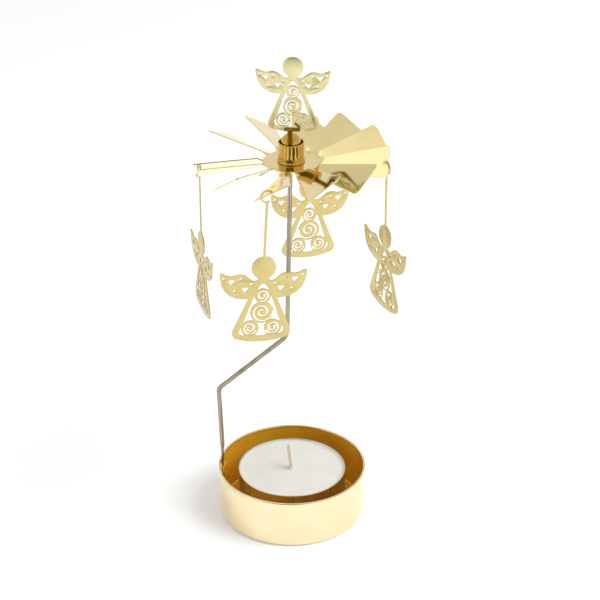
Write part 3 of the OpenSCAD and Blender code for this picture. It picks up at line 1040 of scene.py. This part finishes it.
@dataclass
class Fan:
    """Twelve twisted blades round a flat disc, cut from one sheet. Sizes in mm."""

    height: float = 135.2
    sheet: float = 0.4
    disc_r: float = 9.3
    bore_r: float = 3.43
    neck_r: float = 9.6
    tip_r: float = 32.5
    count: int = 12
    turn: float = -5.0
    twist: float = 31.5
    rise: float = 5.5
    bends: tuple[tuple[float, float], ...] = (
        (0, 0.6),
        (-0.5, 2.5),
        (-1.5, 2),
        (0, 0),
        (0, -2.5),
        (-6, -2),
        (0, -17.5),
        (3, -4.5),
        (5, 0.5),
        (-1, 1.5),
        (0.5, 3),
        (-2, 1.5),
    )
    unwind: float = 3.0
    root_w: float = 4.1
    tip_w: float = 13.8
    corner_r: float = 2.2
    hole_r: float = 0.75
    web: float = 0.4
    root_back: float = 1.2
    twist_by: float = 1.5
    fold_half: float = 1.0
    patch_half: float = 1.3
    crown: float = 0.07
    crown_ease: float = 4.0
    edge_mm: float = 0.07
    slack: float = 0.01
    rows: int = 28

    @property
    def length(self) -> float:
        """Length of a blade from its neck."""
        return self.tip_r - self.neck_r

    def half_width(self, x: float) -> float:
        """Half the width of a blade at a distance from its neck.

        Args:
            x: Distance in mm.

        Returns:
            Half the width in mm.
        """
        lean = (self.tip_w - self.root_w) / 2 / self.length
        straight = self.root_w / 2 + max(0.0, x) * lean
        past = x - (self.length - self.corner_r)
        if past <= 0:
            return straight
        top = self.tip_w / 2 - self.corner_r
        rounded = top + math.sqrt(max(0.0, self.corner_r**2 - past**2))
        return min(straight, rounded)

    def lifted(
        self, x: float, y: float, off: float, bend: tuple[float, float]
    ) -> tuple[float, float, float]:
        """Bends a point of the flat blade to its place.

        Args:
            x: Distance from the neck in mm.
            y: Distance from the blade's centre line in mm.
            off: Distance above the sheet's middle in mm.
            bend: The blade's twist and rise in degrees.

        Returns:
            The bent point in mm, the disc's middle at zero.
        """
        slope = math.radians(bend[1])
        turned = smoothstep((x + self.root_back) / (self.root_back + self.twist_by))
        twist = math.radians(bend[0] + self.unwind * (0.5 - x / self.length)) * turned
        fold = 2 * self.fold_half
        share = min(1.0, max(0.0, (x + self.fold_half) / fold))
        if x < self.fold_half:
            drop = slope * fold * (share**3 - share**4 / 2)
            local = slope * smoothstep(share)
            base = (self.neck_r + x, drop)
        else:
            base = (self.neck_r + x * math.cos(slope), x * math.sin(slope))
            local = slope
        half = self.half_width(x)
        body = smoothstep((x - self.fold_half) / self.crown_ease)
        bulge = self.crown * body * (1 - (y / half) ** 2) if half else 0.0
        height = y * math.sin(twist) + (off + bulge) * math.cos(twist)
        across = y * math.cos(twist) - (off + bulge) * math.sin(twist)
        return base[0] - height * math.sin(local), across, base[1] + height * math.cos(local)

    def blade(self, number: int, hooked: bool) -> Object:
        """Builds one blade with rounded edges, its neck just inside the disc's rim.

        Args:
            number: The blade's number round the fan.
            hooked: Whether it has a hook hole.

        Returns:
            An object that the geometry tree copies and that is removed afterwards.
        """
        bend = (self.twist + self.bends[number][0], self.rise + self.bends[number][1])
        last = self.length
        hole_x = last - self.hole_r - self.web
        patch_x, start, full = hole_x - self.patch_half, -self.root_back, self.twist_by
        neck = [start + (full - start) * i / 10 for i in range(10)]
        middle = [full + (patch_x - full) * i / 15 for i in range(15)]
        patch = [patch_x + (last - patch_x) * (i / 8) for i in range(9)]
        xs = neck + middle + patch
        grid: dict[tuple[int, int], int] = {}
        flat: list[tuple[float, float]] = []
        for i, x in enumerate(xs):
            for j in range(self.rows + 1):
                t = 2 * j / self.rows - 1
                grid[i, j] = len(flat)
                flat.append((x, t * self.half_width(x)))
        first, mid, reach = len(neck) + len(middle), self.rows // 2, 4
        top_i = len(xs) - 1
        faces = []
        for i in range(top_i):
            for j in range(self.rows):
                in_patch = i >= first and mid - reach <= j < mid + reach
                if hooked and in_patch:
                    continue
                faces.append((grid[i, j], grid[i + 1, j], grid[i + 1, j + 1], grid[i, j + 1]))
        if hooked:
            loop = [(i, mid - reach) for i in range(first, top_i)]
            loop += [(top_i, j) for j in range(mid - reach, mid + reach)]
            loop += [(i, mid + reach) for i in range(top_i, first, -1)]
            loop += [(first, j) for j in range(mid + reach, mid - reach, -1)]
            ring = []
            for key in loop:
                x, y = flat[grid[key]]
                a = math.atan2(y, x - hole_x)
                ring.append(len(flat))
                flat.append((hole_x + self.hole_r * math.cos(a), self.hole_r * math.sin(a)))
            for k, key in enumerate(loop):
                m = (k + 1) % len(loop)
                faces.append((grid[key], grid[loop[m]], ring[m], ring[k]))
        return self.thicken(f"fan_blade_{number:02d}", flat, faces, bend)

    def thicken(
        self,
        name: str,
        flat: list[tuple[float, float]],
        faces: list[tuple[int, ...]],
        bend: tuple[float, float],
    ) -> Object:
        """Turns a flat net into a bent plate with rounded edges.

        Args:
            name: The object's name.
            flat: Points of the net in mm.
            faces: The net's faces.
            bend: The blade's twist and rise in degrees.

        Returns:
            The plate.
        """
        edges: dict[tuple[int, int], int] = {}
        for face in faces:
            for a, b in zip(face, face[1:] + face[:1]):
                edges[min(a, b), max(a, b)] = edges.get((min(a, b), max(a, b)), 0) + 1
        half = self.sheet / 2 - self.slack
        shape = bmesh.new()
        top = [shape.verts.new(Vector(self.lifted(x, y, half, bend)) * MM) for x, y in flat]
        low = [shape.verts.new(Vector(self.lifted(x, y, -half, bend)) * MM) for x, y in flat]
        for face in faces:
            shape.faces.new([top[p] for p in face])
            shape.faces.new([low[p] for p in reversed(face)])
        for (a, b), uses in edges.items():
            if uses == 1:
                shape.faces.new((top[a], top[b], low[b], low[a]))
        bmesh.ops.recalc_face_normals(shape, faces=shape.faces)
        sharp = [e for e in shape.edges if e.calc_face_angle(0) > math.radians(60) and e.verts[0].co.x > 0]
        round_off(shape, sharp, self.edge_mm)
        mesh = bpy.data.meshes.new(name)
        shape.to_mesh(mesh)
        shape.free()
        mesh.shade_smooth()
        return bpy.data.objects.new(name, mesh)

    def disc(self) -> Object:
        """Builds the flat disc with its bore and rounded edges."""
        half, edge = self.sheet / 2, 0.06
        outer = arc((self.disc_r - edge, half - edge), edge, 90, 0, 3)
        inner = arc((self.bore_r + edge, half - edge), edge, 180, 90, 3)
        upper = [*inner, (6.0, half), (8.0, half), *outer]
        section = upper + [(r, -z) for r, z in reversed(upper)]
        return lathe("fan_disc", section, 192, 35)

    def tree(self) -> NodeTree:
        """Makes the tree that sets the blades round the disc.

        Returns:
            The geometry tree.
        """
        kinds = {
            "Count": "NodeSocketInt",
            "Turn": "NodeSocketFloat",
            "Height": "NodeSocketFloat",
            "Blades": "NodeSocketCollection",
            "Disc": "NodeSocketObject",
        }
        tree, source = new_tree("fan_wheel", kinds)
        given = source.outputs
        apart = {"Separate Children": True, "Reset Children": True}
        stock = add(tree, "GeometryNodeCollectionInfo", apart, {"Collection": given["Blades"]})
        spots = add(tree, "GeometryNodePoints", links={"Count": given["Count"]})
        number = add(tree, "GeometryNodeInputIndex").outputs[0]
        step = add(tree, "ShaderNodeMath", {0: math.tau}, {1: given["Count"]}, operation="DIVIDE")
        share = {0: number, 1: step.outputs[0], 2: given["Turn"]}
        angle = add(tree, "ShaderNodeMath", links=share, operation="MULTIPLY_ADD")
        turned = add(tree, "ShaderNodeCombineXYZ", links={"Z": angle.outputs[0]})
        places = {
            "Points": spots.outputs[0],
            "Instance": stock.outputs[0],
            "Instance Index": number,
            "Rotation": turned.outputs[0],
        }
        wheel = add(tree, "GeometryNodeInstanceOnPoints", {"Pick Instance": True}, places)
        disc = add(tree, "GeometryNodeObjectInfo", {"As Instance": True}, {"Object": given["Disc"]})
        whole = add(tree, "GeometryNodeJoinGeometry")
        tree.links.new(disc.outputs["Geometry"], whole.inputs[0])
        tree.links.new(wheel.outputs[0], whole.inputs[0])
        lift = add(tree, "ShaderNodeCombineXYZ", links={"Z": given["Height"]}).outputs[0]
        # The blades and the disc are made real before the lift, which moves only real points
        solid = add(tree, "GeometryNodeRealizeInstances", links={"Geometry": whole.outputs[0]}).outputs[0]
        raised = add(tree, "GeometryNodeTransform", links={"Geometry": solid, "Translation": lift})
        end_tree(tree, source, raised.outputs[0])
        return tree

    def build(self) -> None:
        """Makes and dresses the fan."""
        blades = bpy.data.collections.new("fan_blades")
        for number in range(self.count):
            blades.objects.link(self.blade(number, number % (self.count // 4) == 0))
        disc = self.disc()
        inputs = {
            "Count": self.count,
            "Turn": math.radians(self.turn),
            "Height": self.height * MM,
            "Blades": blades,
            "Disc": disc,
            "Finish": FAN_SHEET.build(),
        }
        piece = apply_tree("fan_wheel", self.tree(), inputs, 35)
        for part in (*blades.objects, disc):
            bpy.data.objects.remove(part)
        bpy.data.collections.remove(blades)
        settle(piece, Body.ROTOR.value, Slot.SHEET, "fan_plate")


# Hub and figures


@dataclass
class Hub:
    """Domed thimble inside a beaded sleeve, and the bent strip that carries the top figure. Sizes in mm."""

    disc_top: float = 135.4
    sheet: float = 0.4
    thimble_r: float = 3.4
    wall: float = 0.3
    gap: float = 0.5
    sleeve_h: float = 6.9
    bead_d: float = 0.7
    lip_d: float = 0.44
    dome_up: float = 2.9
    flange_r: float = 5.2

    def thimble(self) -> Object:
        """Builds the thimble with its dome and the flange under the disc."""
        r, t = self.thimble_r, self.wall
        middle = self.disc_top + self.sleeve_h + self.dome_up - r
        low = self.disc_top - self.sheet - t
        section = [
            *arc((0, middle), r, 90, 0, 20),
            (r, low + t + 0.1),
            *arc((r + 0.1, low + t + 0.1), 0.1, 180, 270, 3),
            *arc((self.flange_r - t / 2, low + t / 2), t / 2, 90, -90, 6),
            (r - t + 0.3, low),
            *arc((r - t - 0.1 + 0.4, low + 0.3), 0.3, 270, 180, 4),
            *arc((0, middle), r - t, 0, 90, 16),
        ]
        section = [(max(0.0, x), z) for x, z in section]
        section[0] = (0.0, middle + r)
        section[-1] = (0.0, middle + r - t)
        return lathe("hub_thimble_dome", section, 128, 40)

    def sleeve(self) -> Object:
        """Builds the sleeve with its rolled lower rim and its rounded lip."""
        inner = self.thimble_r + self.gap
        outer = inner + self.wall
        low, high = self.disc_top, self.disc_top + self.sleeve_h
        bead = (inner + self.bead_d / 2 + 0.02, low + self.bead_d / 2)
        lip = (inner + self.lip_d / 2 + 0.02, high - self.lip_d / 2)
        section = [
            (inner, low + self.bead_d / 2),
            *arc(bead, self.bead_d / 2, -150, 60, 14),
            (outer + 0.02, low + self.bead_d + 0.05),
            (outer, low + self.bead_d + 0.3),
            (outer, high - self.lip_d - 0.25),
            (outer + 0.01, high - self.lip_d - 0.05),
            *arc(lip, self.lip_d / 2, -40, 150, 12),
            (inner, high - self.lip_d / 2),
        ]
        return lathe("hub_sleeve_barrel", section, 128, 50)

    def build(self) -> None:
        """Makes and dresses the hub and the stand."""
        brass = HUB_BRASS.build()
        for piece, node in ((self.thimble(), "hub_thimble"), (self.sleeve(), "hub_sleeve")):
            dress(piece, brass)
            settle(piece, Body.ROTOR.value, Slot.HUB, node)
        stand = softened("top_stand", "stand_strip", 0.08)
        dress(stand, STAND_BRASS.build())
        settle(stand, Body.ROTOR.value, Slot.STAND, "top_stand")


@dataclass
class Figures:
    """The standing figure and the four hanging ones, pierced from thin sheet."""

    edge_mm: float = 0.06
    nodes: tuple[str, ...] = FIGURE_NODES

    def build(self) -> None:
        """Makes and dresses the five figures."""
        gilt = FIGURE_SHEET.build()
        # The top figure's paler copy of the brass is painted light
        bright = TOP_SHEET_PAINTED_LIGHT.build()
        top = softened("top_angel", "top_figure", self.edge_mm)
        dress(top, bright)
        settle(top, Body.ROTOR.value, Slot.SHEET, "top_angel")
        for node in self.nodes:
            side = node.rsplit("_", 1)[1]
            piece = softened(node, "hanging_figure_" + side, self.edge_mm)
            dress(piece, gilt)
            settle(piece, "angel_" + side, Slot.SHEET, node)


# Studio


@dataclass
class Studio:
    """White table and tent with one large soft light, and the camera. Sizes in mm, angles in degrees."""

    camera_at: tuple[float, float, float] = (59.16, -562.9, 383.0)
    forward: tuple[float, float, float] = (-0.0879, 0.87967, -0.46739)
    right: tuple[float, float, float] = (0.99512, 0.09883, 0.00006)
    lens_mm: float = 112.8
    floor_mm: float = 6000.0
    floor_colour: str = "F4F4F4"
    floor_lift: float = 0.1
    mirror_lift: float = 0.15
    fill: float = 0.72
    tent: tuple[tuple[float, float], ...] = (
        (0.0, 0.95), (0.12, 0.92), (0.4, 0.8), (0.72, 0.7), (0.9, 0.82), (1.0, 0.9)
    )
    overhead: tuple[float, float, float] = (-0.32, -0.1, 0.95)
    overhead_edge: tuple[float, float] = (0.86, 0.985)
    overhead_gain: float = 0.4
    open_front: tuple[float, float, float] = (-0.1, -0.87, 0.47)
    open_edge: tuple[float, float] = (0.74, 0.93)
    open_tone: float = 0.16
    lamp_at: tuple[float, float, float] = (700, -150, 900)
    lamp_side: float = 700
    lamp_watts: float = 9
    aim_height: float = 60.0

    def camera(self) -> None:
        """Sets up the camera at the photograph's angle."""
        data = bpy.data.cameras.new("view")
        data.lens = self.lens_mm
        data.sensor_width = 36
        data.clip_start = 0.01
        data.clip_end = 50
        camera = put_in_scene("view", data)
        back = -Vector(self.forward).normalized()
        side = Vector(self.right)
        side = (side - back * side.dot(back)).normalized()
        up = back.cross(side)
        turn = Matrix((side, up, back)).transposed().to_4x4()
        camera.matrix_world = Matrix.Translation(Vector(self.camera_at) * MM) @ turn
        bpy.context.scene.camera = camera

    def table(self) -> None:
        """Lays the white table, bright to the camera and to mirrors but still taking the shadow."""
        half = self.floor_mm / 2
        corners = [(-half, -half, 0), (half, -half, 0), (half, half, 0), (-half, half, 0)]
        mesh = mesh_from("table_top", corners, [(0, 1, 2, 3)])
        table = put_in_scene("table_top", mesh)
        values = {
            "Base Color": linear(self.floor_colour),
            "Roughness": 0.6,
            "Specular IOR Level": 0.0,
            "Emission Color": (1, 1, 1, 1),
        }
        material, tree, shader = new_material("white_table", values)
        path = add(tree, "ShaderNodeLightPath").outputs
        seen = {0: path["Is Camera Ray"]}
        lift = add(tree, "ShaderNodeMath", {1: self.floor_lift}, seen, operation="MULTIPLY").outputs[0]
        mirrored = {0: path["Is Glossy Ray"], 2: lift}
        glow = add(tree, "ShaderNodeMath", {1: self.mirror_lift}, mirrored, operation="MULTIPLY_ADD")
        tree.links.new(glow.outputs[0], shader.inputs["Emission Strength"])
        table.data.materials.append(material)

    def light(self) -> None:
        """Adds the one square soft light, which faces the object and is hidden from mirrors."""
        data = bpy.data.lights.new("key", "AREA")
        data.size = self.lamp_side * MM
        data.energy = self.lamp_watts
        lamp = put_in_scene("key", data)
        place = Vector(self.lamp_at) * MM
        lamp.location = place
        aim = Vector((0, 0, self.aim_height)) * MM - place
        lamp.rotation_euler = aim.to_track_quat("-Z", "Y").to_euler()
        lamp.visible_glossy = False

    def world(self) -> None:
        """Makes the tent: white to the camera, and to mirrors pale, lit overhead and open in front."""
        world = bpy.data.worlds.new("tent")
        bpy.context.scene.world = world
        world.use_nodes = True
        tree = world.node_tree
        tree.nodes.clear()
        toward = add(tree, "ShaderNodeTexCoord").outputs["Generated"]
        height = add(tree, "ShaderNodeSeparateXYZ", links={"Vector": toward}).outputs["Z"]
        walls = add(tree, "ShaderNodeValToRGB", links={"Fac": height})
        ramp = walls.color_ramp
        ramp.interpolation = "EASE"
        ramp.elements[0].position, ramp.elements[1].position = self.tent[0][0], self.tent[-1][0]
        for place, _ in self.tent[1:-1]:
            ramp.elements.new(place)
        for element, (_, tone) in zip(ramp.elements, self.tent):
            element.color = (tone, tone, tone, 1)
        room = walls.outputs["Color"]
        for middle, edge, outside, inside, joining in (
            (self.overhead, self.overhead_edge, 0.0, self.overhead_gain, "ADD"),
            (self.open_front, self.open_edge, 1.0, self.open_tone, "MULTIPLY"),
        ):
            aim = {1: Vector(middle).normalized()}
            near = add(tree, "ShaderNodeVectorMath", aim, {0: toward}, operation="DOT_PRODUCT")
            reach = {"From Min": edge[0], "From Max": edge[1], "To Min": outside, "To Max": inside}
            level = {"Value": near.outputs["Value"]}
            patch = add(tree, "ShaderNodeMapRange", reach, level, interpolation_type="SMOOTHSTEP")
            both = {0: room, 1: patch.outputs["Result"]}
            room = add(tree, "ShaderNodeMath", links=both, operation=joining).outputs[0]
        path = add(tree, "ShaderNodeLightPath").outputs
        plain = {"Color": (1, 1, 1, 1)}
        mirror = add(tree, "ShaderNodeBackground", plain, {"Strength": room}).outputs[0]
        fill = add(tree, "ShaderNodeBackground", {**plain, "Strength": self.fill}).outputs[0]
        white = add(tree, "ShaderNodeBackground", {**plain, "Strength": 1.0}).outputs[0]
        glossy = {0: path["Is Glossy Ray"], 1: fill, 2: mirror}
        others = add(tree, "ShaderNodeMixShader", links=glossy).outputs[0]
        direct = {0: path["Is Camera Ray"], 1: others, 2: white}
        mixed = add(tree, "ShaderNodeMixShader", links=direct).outputs[0]
        tree.links.new(mixed, add(tree, "ShaderNodeOutputWorld").inputs[0])

    def build(self) -> None:
        """Makes the studio."""
        self.camera()
        self.table()
        self.world()
        self.light()
        bpy.context.scene.view_settings.view_transform = "Standard"


def main() -> None:
    """Builds every sub-assembly in order."""
    logging.basicConfig(level=logging.INFO, format="%(name)s: %(message)s")
    Studio().build()
    for part in (CandleCup(), Tealight(), Mast(), Fan(), Hub(), Figures()):
        part.build()


if __name__ == "__main__":
    main()
